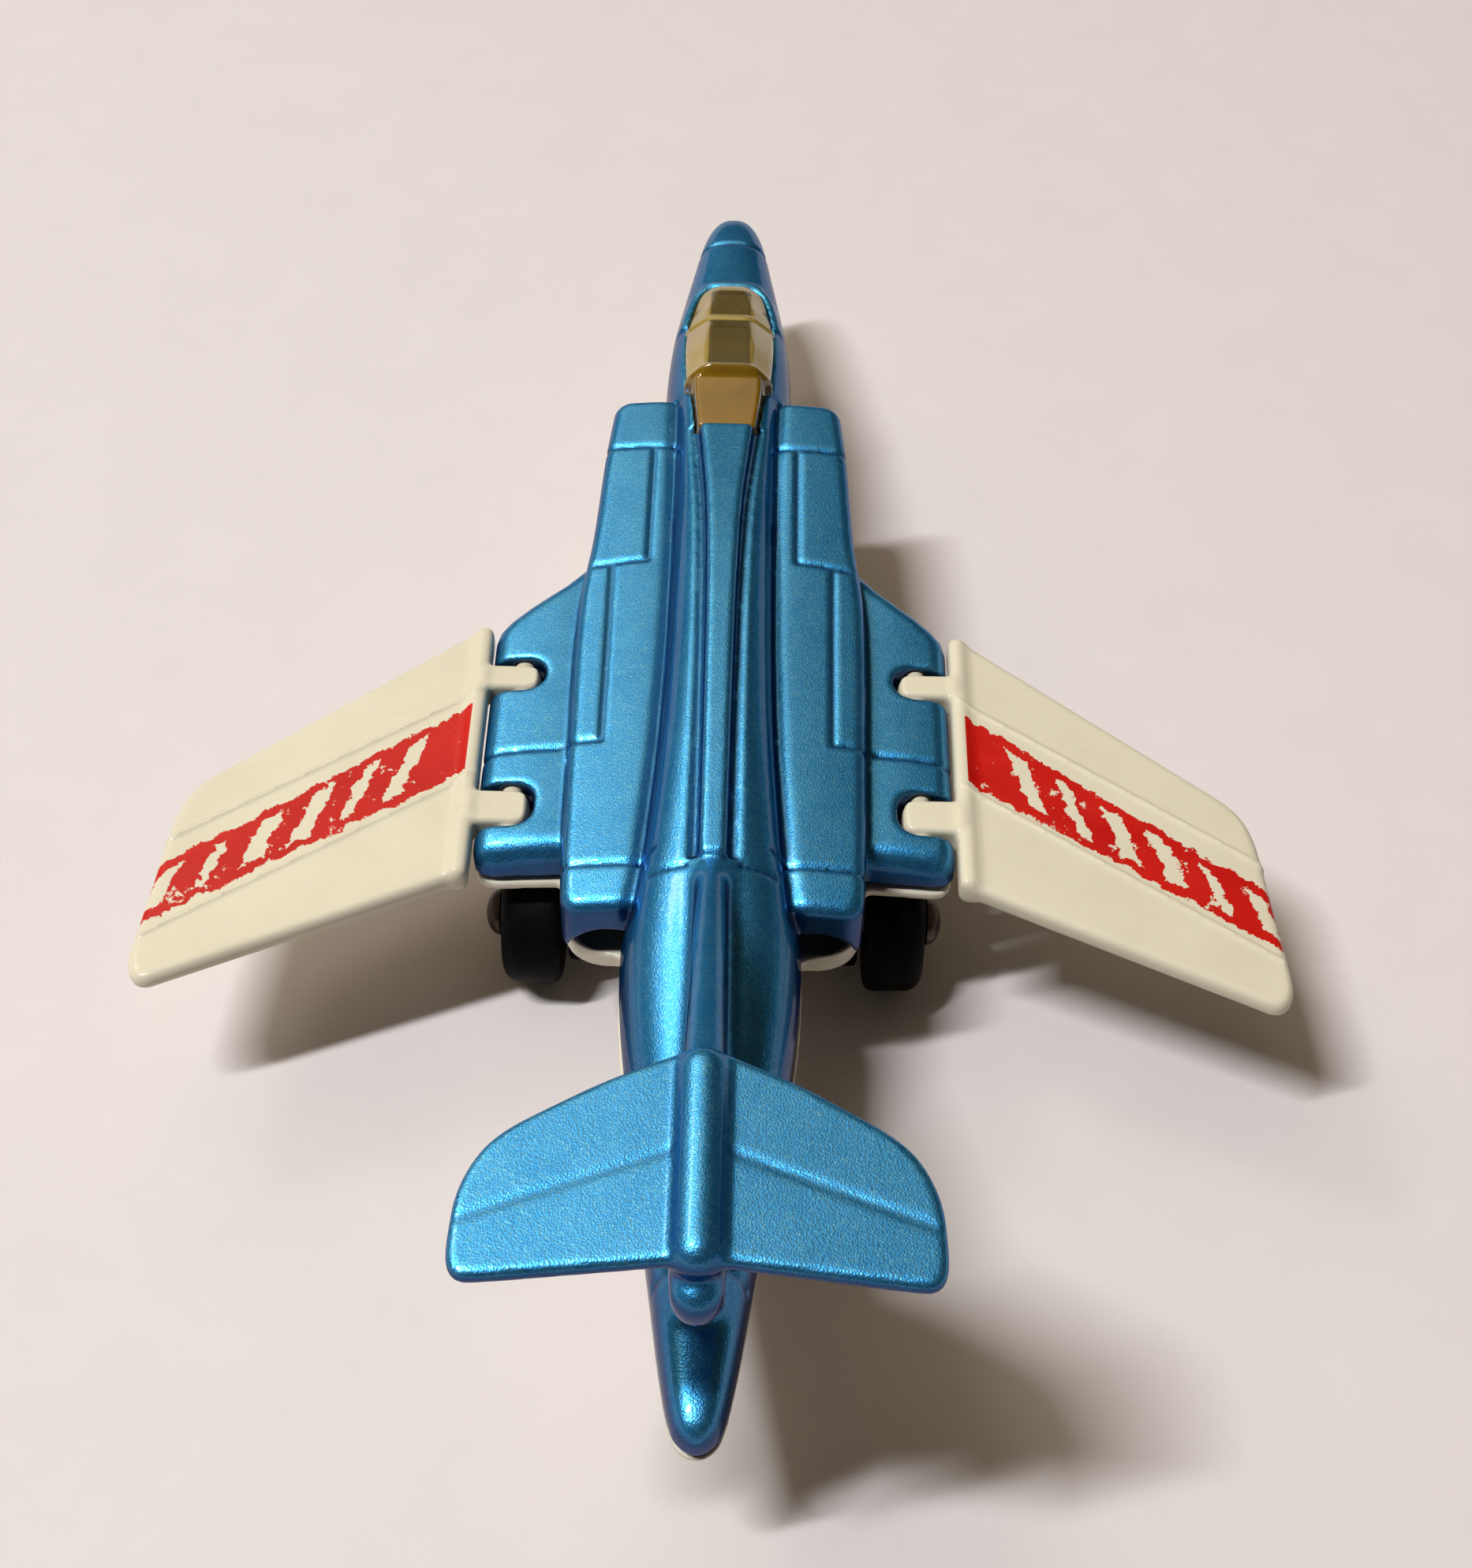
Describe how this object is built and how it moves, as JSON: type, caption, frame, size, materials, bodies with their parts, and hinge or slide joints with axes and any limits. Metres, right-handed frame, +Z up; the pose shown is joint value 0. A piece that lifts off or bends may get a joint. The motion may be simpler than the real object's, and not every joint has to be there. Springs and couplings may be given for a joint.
{
  "type": "toy airplane",
  "caption": "Pocket-size toy jet with a die-cast metal upper body on a plastic base, a clear canopy, wings that fold up on moulded hinges, and free-rolling wheels.",
  "frame": {"origin": "on the surface the wheels stand on, below the middle of the length and width", "axes": "+Y to the nose, +X to the right wing, +Z up"},
  "size_m": [0.0644, 0.0952, 0.0279],
  "materials": {
    "candy_blue": "translucent metallic-flake candy paint over zinc die-casting",
    "cream_plastic": "moulded plastic, lightly worn, red printed band on each wing",
    "amber_clear": "transparent amber moulded plastic",
    "black_plastic": "black moulded plastic",
    "axle_steel": "dull plated steel wire with upset heads"
  },
  "bodies": {
    "airframe": {"upper_body": "candy_blue", "base": "cream_plastic", "canopy": "amber_clear", "main_gear_frame": "black_plastic", "main_axle": "axle_steel", "nose_axle": "axle_steel", "front_rivet": "axle_steel", "rear_rivet": "axle_steel"},
    "left_wing": {"left_wing": "cream_plastic"},
    "right_wing": {"right_wing": "cream_plastic"},
    "left_main_wheel": {"left_main_wheel": "black_plastic"},
    "right_main_wheel": {"right_main_wheel": "black_plastic"},
    "nose_wheel": {"nose_wheel": "black_plastic"}
  },
  "joints": [
    {"name": "left_wing_fold", "type": "hinge", "parent": "airframe", "child": "left_wing", "pos_m": [-0.0118, -0.00415, 0.0113], "axis": [0, 1, 0], "range_deg": [0, 90]},
    {"name": "right_wing_fold", "type": "hinge", "parent": "airframe", "child": "right_wing", "pos_m": [0.0118, -0.00415, 0.0113], "axis": [0, -1, 0], "range_deg": [0, 90]},
    {"name": "left_main_wheel_spin", "type": "hinge", "parent": "airframe", "child": "left_main_wheel", "pos_m": [-0.01063, -0.0107, 0.00415], "axis": [1, 0, 0], "continuous": true},
    {"name": "right_main_wheel_spin", "type": "hinge", "parent": "airframe", "child": "right_main_wheel", "pos_m": [0.01063, -0.0107, 0.00415], "axis": [1, 0, 0], "continuous": true},
    {"name": "nose_wheel_spin", "type": "hinge", "parent": "airframe", "child": "nose_wheel", "pos_m": [0, 0.031, 0.0024], "axis": [1, 0, 0], "continuous": true}
  ]
}
